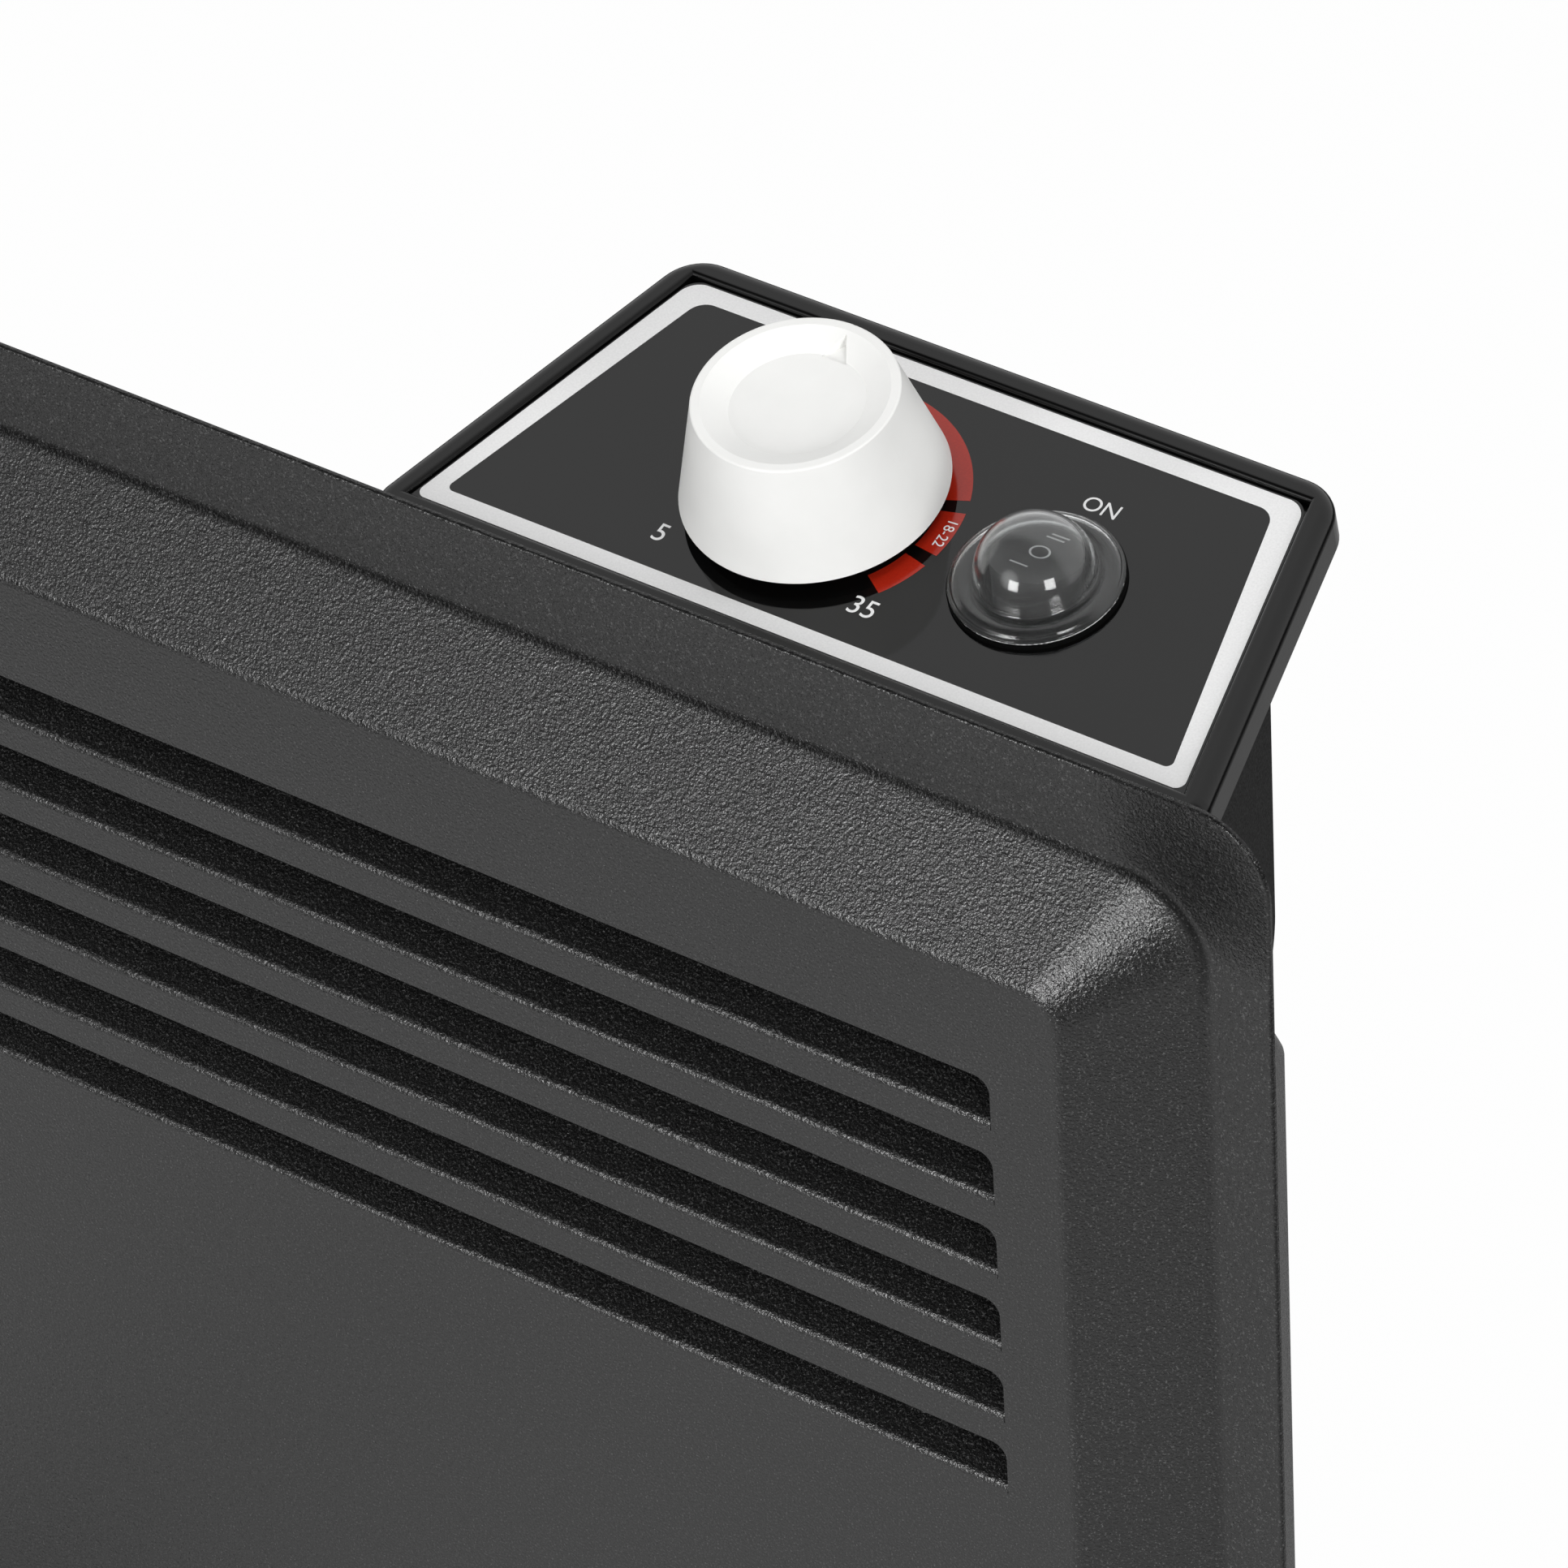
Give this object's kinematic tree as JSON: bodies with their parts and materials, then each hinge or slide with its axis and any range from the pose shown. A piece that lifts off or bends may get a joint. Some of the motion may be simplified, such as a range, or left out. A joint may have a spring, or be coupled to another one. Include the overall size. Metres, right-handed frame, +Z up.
{
  "type": "convector heater",
  "caption": "Flat electric convector heater on floor feet: louvred steel front, tapered rear case, tilted control unit with a turning thermostat knob and a hooded rocker switch.",
  "frame": {"origin": "on the floor, under the middle of the heater", "axes": "+X to the right as seen from the front, +Y to the back, +Z up"},
  "size_m": [0.459, 0.23, 0.4698],
  "materials": {
    "panel_coat": "fine textured powder coat, satin",
    "case_coat": "fine textured powder coat, satin",
    "zinc_steel": "zinc plated",
    "bright_steel": "rolled",
    "housing_black": "fine moulded texture",
    "bezel_black": "gloss moulded",
    "overlay_print": "gloss, printed",
    "knob_white": "satin gloss",
    "switch_black": "moulded",
    "rocker_black": "moulded, white marks",
    "clear_hood": "clear, glossy",
    "soft_rubber": "matt",
    "bakelite": "pressed resin",
    "plated_brass": "plated",
    "copper_tube": "drawn",
    "fin_aluminium": "extruded",
    "ceramic_white": "fired, unglazed",
    "wire_sleeve": "silicone sleeve",
    "foot_black": "fine moulded texture"
  },
  "bodies": {
    "case": {"front_panel": "panel_coat", "rear_case": "case_coat", "panel_studs": "zinc_steel", "panel_nuts": "zinc_steel", "control_housing": "housing_black", "control_bezel": "bezel_black", "control_overlay": "overlay_print", "housing_screws": "zinc_steel", "wire_grommet": "soft_rubber", "thermostat_body": "bakelite", "thermostat_screws": "zinc_steel", "switch_body": "switch_black", "switch_blades": "plated_brass", "switch_hood": "clear_hood", "heating_fins": "fin_aluminium", "heating_core": "bright_steel", "end_bushes": "ceramic_white", "element_bracket_left": "zinc_steel", "element_bracket_right": "zinc_steel", "bracket_rivets": "fin_aluminium", "heat_shield": "bright_steel", "cutout_bracket": "zinc_steel", "thermal_cutout": "bakelite", "terminal_block": "ceramic_white", "sensing_bulb": "copper_tube", "bulb_saddles": "zinc_steel", "capillary_tube": "copper_tube", "inner_wires": "wire_sleeve", "cord_gland": "housing_black", "gland_nut": "housing_black", "foot_left": "foot_black", "foot_right": "foot_black", "foot_screws": "zinc_steel", "foot_nuts": "zinc_steel", "foot_pads": "soft_rubber"},
    "knob": {"thermostat_knob": "knob_white", "thermostat_shaft": "plated_brass"},
    "rocker": {"switch_rocker": "rocker_black"}
  },
  "joints": [
    {"name": "knob_turn", "type": "hinge", "parent": "case", "child": "knob", "pos_m": [0.12, 0.00966, 0.44327], "axis": [0, -0.1908, 0.9816], "range_deg": [-135, 135]},
    {"name": "rocker_tilt", "type": "hinge", "parent": "case", "child": "rocker", "pos_m": [0.1636, 0.00897, 0.44212], "axis": [1, 0, 0], "range_deg": [0, 20]}
  ]
}
